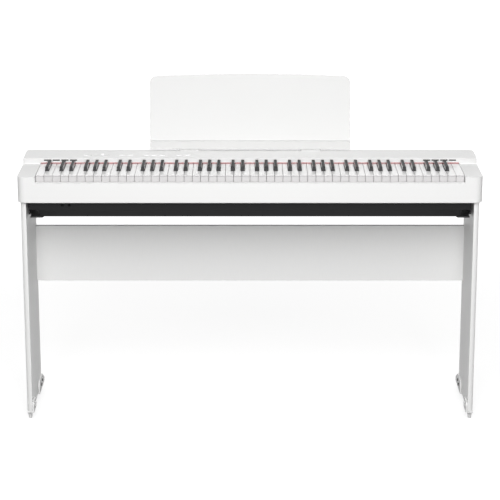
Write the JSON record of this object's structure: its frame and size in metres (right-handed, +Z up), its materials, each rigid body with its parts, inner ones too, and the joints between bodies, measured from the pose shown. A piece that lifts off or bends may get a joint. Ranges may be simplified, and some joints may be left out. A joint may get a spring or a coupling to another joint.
{
  "type": "digital piano on stand",
  "caption": "White slab digital piano with weighted full-size keys, panel controls and a leaning music rest, on a white panel stand with a cross panel, steel brackets and shoes.",
  "frame": {"origin": "middle of the overall box, on the floor", "axes": "+X to the player's right along the keyboard, +Y away from the player, +Z up"},
  "size_m": [1.326, 0.334, 0.9729],
  "materials": {
    "white_board": "white laminate, satin",
    "white_plastic": "fine matt moulding",
    "black_plastic": "matt moulding",
    "grey_plastic": "plain moulding",
    "black_steel": "satin powder coat",
    "steel_rod": "drawn bar",
    "hammer_weight": "dark coat",
    "grey_felt": "pressed felt",
    "red_felt": "pressed felt",
    "circuit_board": "solder mask",
    "speaker_black": "satin",
    "black_rubber": "matt",
    "control_plastic": "fine matt moulding",
    "white_key": "satin gloss",
    "black_key": "fine matt"
  },
  "bodies": {
    "stand_and_case": {"left_side_panel": "white_board", "right_side_panel": "white_board", "back_panel": "white_board", "front_left_shoe": "white_plastic", "front_right_shoe": "white_plastic", "rear_left_shoe": "white_plastic", "rear_right_shoe": "white_plastic", "left_bracket": "black_steel", "right_bracket": "black_steel", "upper_case": "white_plastic", "lower_case": "black_plastic", "key_frame": "grey_plastic", "action_rods": "steel_rod", "stop_felts": "grey_felt", "felt_strip": "red_felt", "contact_board": "circuit_board", "main_board": "circuit_board", "panel_board": "circuit_board", "left_speaker": "speaker_black", "right_speaker": "speaker_black", "rubber_feet": "black_rubber", "headphone_jacks": "black_plastic", "rear_jacks": "black_plastic"},
    "music_rest": {"music_rest": "white_plastic"},
    "volume_knob": {"volume_knob": "control_plastic"},
    "power_button": {"power_button": "control_plastic"},
    "panel_button_1": {"panel_button_1": "control_plastic"},
    "panel_button_2": {"panel_button_2": "control_plastic"},
    "panel_button_3": {"panel_button_3": "control_plastic"},
    "panel_button_4": {"panel_button_4": "control_plastic"},
    "panel_button_5": {"panel_button_5": "control_plastic"},
    "panel_button_6": {"panel_button_6": "control_plastic"},
    "panel_button_7": {"panel_button_7": "control_plastic"},
    "keys_c": {"keys_c": "white_key"},
    "hammers_c": {"hammers_c": "hammer_weight"},
    "keys_c_sharp": {"keys_c_sharp": "black_key"},
    "hammers_c_sharp": {"hammers_c_sharp": "hammer_weight"},
    "keys_d": {"keys_d": "white_key"},
    "hammers_d": {"hammers_d": "hammer_weight"},
    "keys_d_sharp": {"keys_d_sharp": "black_key"},
    "hammers_d_sharp": {"hammers_d_sharp": "hammer_weight"},
    "keys_e": {"keys_e": "white_key"},
    "hammers_e": {"hammers_e": "hammer_weight"},
    "keys_f": {"keys_f": "white_key"},
    "hammers_f": {"hammers_f": "hammer_weight"},
    "keys_f_sharp": {"keys_f_sharp": "black_key"},
    "hammers_f_sharp": {"hammers_f_sharp": "hammer_weight"},
    "keys_g": {"keys_g": "white_key"},
    "hammers_g": {"hammers_g": "hammer_weight"},
    "keys_g_sharp": {"keys_g_sharp": "black_key"},
    "hammers_g_sharp": {"hammers_g_sharp": "hammer_weight"},
    "keys_a": {"keys_a": "white_key"},
    "hammers_a": {"hammers_a": "hammer_weight"},
    "keys_a_sharp": {"keys_a_sharp": "black_key"},
    "hammers_a_sharp": {"hammers_a_sharp": "hammer_weight"},
    "keys_b": {"keys_b": "white_key"},
    "hammers_b": {"hammers_b": "hammer_weight"}
  },
  "joints": [
    {"name": "press_keys_c", "type": "hinge", "parent": "stand_and_case", "child": "keys_c", "pos_m": [0, 0.059, 0.725], "axis": [1, 0, 0], "range_deg": [0, 2.8], "stiffness_Nm_per_rad": 2.4, "springref_deg": -11.46},
    {"name": "swing_hammers_c", "type": "hinge", "parent": "stand_and_case", "child": "hammers_c", "pos_m": [0, -0.037, 0.696], "axis": [1, 0, 0], "range_deg": [0, 13.6]},
    {"name": "press_keys_c_sharp", "type": "hinge", "parent": "stand_and_case", "child": "keys_c_sharp", "pos_m": [0, 0.059, 0.725], "axis": [1, 0, 0], "range_deg": [0, 2.8], "stiffness_Nm_per_rad": 2.1, "springref_deg": -11.46},
    {"name": "swing_hammers_c_sharp", "type": "hinge", "parent": "stand_and_case", "child": "hammers_c_sharp", "pos_m": [0, -0.037, 0.696], "axis": [1, 0, 0], "range_deg": [0, 13.6]},
    {"name": "press_keys_d", "type": "hinge", "parent": "stand_and_case", "child": "keys_d", "pos_m": [0, 0.059, 0.725], "axis": [1, 0, 0], "range_deg": [0, 2.8], "stiffness_Nm_per_rad": 2.1, "springref_deg": -11.46},
    {"name": "swing_hammers_d", "type": "hinge", "parent": "stand_and_case", "child": "hammers_d", "pos_m": [0, -0.037, 0.696], "axis": [1, 0, 0], "range_deg": [0, 13.6]},
    {"name": "press_keys_d_sharp", "type": "hinge", "parent": "stand_and_case", "child": "keys_d_sharp", "pos_m": [0, 0.059, 0.725], "axis": [1, 0, 0], "range_deg": [0, 2.8], "stiffness_Nm_per_rad": 2.1, "springref_deg": -11.46},
    {"name": "swing_hammers_d_sharp", "type": "hinge", "parent": "stand_and_case", "child": "hammers_d_sharp", "pos_m": [0, -0.037, 0.696], "axis": [1, 0, 0], "range_deg": [0, 13.6]},
    {"name": "press_keys_e", "type": "hinge", "parent": "stand_and_case", "child": "keys_e", "pos_m": [0, 0.059, 0.725], "axis": [1, 0, 0], "range_deg": [0, 2.8], "stiffness_Nm_per_rad": 2.1, "springref_deg": -11.46},
    {"name": "swing_hammers_e", "type": "hinge", "parent": "stand_and_case", "child": "hammers_e", "pos_m": [0, -0.037, 0.696], "axis": [1, 0, 0], "range_deg": [0, 13.6]},
    {"name": "press_keys_f", "type": "hinge", "parent": "stand_and_case", "child": "keys_f", "pos_m": [0, 0.059, 0.725], "axis": [1, 0, 0], "range_deg": [0, 2.8], "stiffness_Nm_per_rad": 2.1, "springref_deg": -11.46},
    {"name": "swing_hammers_f", "type": "hinge", "parent": "stand_and_case", "child": "hammers_f", "pos_m": [0, -0.037, 0.696], "axis": [1, 0, 0], "range_deg": [0, 13.6]},
    {"name": "press_keys_f_sharp", "type": "hinge", "parent": "stand_and_case", "child": "keys_f_sharp", "pos_m": [0, 0.059, 0.725], "axis": [1, 0, 0], "range_deg": [0, 2.8], "stiffness_Nm_per_rad": 2.1, "springref_deg": -11.46},
    {"name": "swing_hammers_f_sharp", "type": "hinge", "parent": "stand_and_case", "child": "hammers_f_sharp", "pos_m": [0, -0.037, 0.696], "axis": [1, 0, 0], "range_deg": [0, 13.6]},
    {"name": "press_keys_g", "type": "hinge", "parent": "stand_and_case", "child": "keys_g", "pos_m": [0, 0.059, 0.725], "axis": [1, 0, 0], "range_deg": [0, 2.8], "stiffness_Nm_per_rad": 2.1, "springref_deg": -11.46},
    {"name": "swing_hammers_g", "type": "hinge", "parent": "stand_and_case", "child": "hammers_g", "pos_m": [0, -0.037, 0.696], "axis": [1, 0, 0], "range_deg": [0, 13.6]},
    {"name": "press_keys_g_sharp", "type": "hinge", "parent": "stand_and_case", "child": "keys_g_sharp", "pos_m": [0, 0.059, 0.725], "axis": [1, 0, 0], "range_deg": [0, 2.8], "stiffness_Nm_per_rad": 2.1, "springref_deg": -11.46},
    {"name": "swing_hammers_g_sharp", "type": "hinge", "parent": "stand_and_case", "child": "hammers_g_sharp", "pos_m": [0, -0.037, 0.696], "axis": [1, 0, 0], "range_deg": [0, 13.6]},
    {"name": "press_keys_a", "type": "hinge", "parent": "stand_and_case", "child": "keys_a", "pos_m": [0, 0.059, 0.725], "axis": [1, 0, 0], "range_deg": [0, 2.8], "stiffness_Nm_per_rad": 2.4, "springref_deg": -11.46},
    {"name": "swing_hammers_a", "type": "hinge", "parent": "stand_and_case", "child": "hammers_a", "pos_m": [0, -0.037, 0.696], "axis": [1, 0, 0], "range_deg": [0, 13.6]},
    {"name": "press_keys_a_sharp", "type": "hinge", "parent": "stand_and_case", "child": "keys_a_sharp", "pos_m": [0, 0.059, 0.725], "axis": [1, 0, 0], "range_deg": [0, 2.8], "stiffness_Nm_per_rad": 2.4, "springref_deg": -11.46},
    {"name": "swing_hammers_a_sharp", "type": "hinge", "parent": "stand_and_case", "child": "hammers_a_sharp", "pos_m": [0, -0.037, 0.696], "axis": [1, 0, 0], "range_deg": [0, 13.6]},
    {"name": "press_keys_b", "type": "hinge", "parent": "stand_and_case", "child": "keys_b", "pos_m": [0, 0.059, 0.725], "axis": [1, 0, 0], "range_deg": [0, 2.8], "stiffness_Nm_per_rad": 2.4, "springref_deg": -11.46},
    {"name": "swing_hammers_b", "type": "hinge", "parent": "stand_and_case", "child": "hammers_b", "pos_m": [0, -0.037, 0.696], "axis": [1, 0, 0], "range_deg": [0, 13.6]},
    {"name": "press_power_button", "type": "slide", "parent": "stand_and_case", "child": "power_button", "axis": [0, 0, -1], "range_m": [0, 0.0009], "stiffness_N_per_m": 600, "springref_m": -0.001},
    {"name": "press_panel_button_1", "type": "slide", "parent": "stand_and_case", "child": "panel_button_1", "axis": [0, 0, -1], "range_m": [0, 0.0009], "stiffness_N_per_m": 600, "springref_m": -0.001},
    {"name": "press_panel_button_2", "type": "slide", "parent": "stand_and_case", "child": "panel_button_2", "axis": [0, 0, -1], "range_m": [0, 0.0009], "stiffness_N_per_m": 600, "springref_m": -0.001},
    {"name": "press_panel_button_3", "type": "slide", "parent": "stand_and_case", "child": "panel_button_3", "axis": [0, 0, -1], "range_m": [0, 0.0009], "stiffness_N_per_m": 600, "springref_m": -0.001},
    {"name": "press_panel_button_4", "type": "slide", "parent": "stand_and_case", "child": "panel_button_4", "axis": [0, 0, -1], "range_m": [0, 0.0009], "stiffness_N_per_m": 600, "springref_m": -0.001},
    {"name": "press_panel_button_5", "type": "slide", "parent": "stand_and_case", "child": "panel_button_5", "axis": [0, 0, -1], "range_m": [0, 0.0009], "stiffness_N_per_m": 600, "springref_m": -0.001},
    {"name": "press_panel_button_6", "type": "slide", "parent": "stand_and_case", "child": "panel_button_6", "axis": [0, 0, -1], "range_m": [0, 0.0009], "stiffness_N_per_m": 600, "springref_m": -0.001},
    {"name": "press_panel_button_7", "type": "slide", "parent": "stand_and_case", "child": "panel_button_7", "axis": [0, 0, -1], "range_m": [0, 0.0009], "stiffness_N_per_m": 600, "springref_m": -0.001},
    {"name": "slide_volume_knob", "type": "slide", "parent": "stand_and_case", "child": "volume_knob", "axis": [1, 0, 0], "range_m": [-0.016, 0.016]},
    {"name": "lift_music_rest", "type": "slide", "parent": "stand_and_case", "child": "music_rest", "axis": [0, 0, 1], "range_m": [0, 0.06]}
  ],
  "couplings": [
    {"joint": "swing_hammers_c", "follows": "press_keys_c", "ratio": 4.84},
    {"joint": "swing_hammers_c_sharp", "follows": "press_keys_c_sharp", "ratio": 4.84},
    {"joint": "swing_hammers_d", "follows": "press_keys_d", "ratio": 4.84},
    {"joint": "swing_hammers_d_sharp", "follows": "press_keys_d_sharp", "ratio": 4.84},
    {"joint": "swing_hammers_e", "follows": "press_keys_e", "ratio": 4.84},
    {"joint": "swing_hammers_f", "follows": "press_keys_f", "ratio": 4.84},
    {"joint": "swing_hammers_f_sharp", "follows": "press_keys_f_sharp", "ratio": 4.84},
    {"joint": "swing_hammers_g", "follows": "press_keys_g", "ratio": 4.84},
    {"joint": "swing_hammers_g_sharp", "follows": "press_keys_g_sharp", "ratio": 4.84},
    {"joint": "swing_hammers_a", "follows": "press_keys_a", "ratio": 4.84},
    {"joint": "swing_hammers_a_sharp", "follows": "press_keys_a_sharp", "ratio": 4.84},
    {"joint": "swing_hammers_b", "follows": "press_keys_b", "ratio": 4.84}
  ]
}
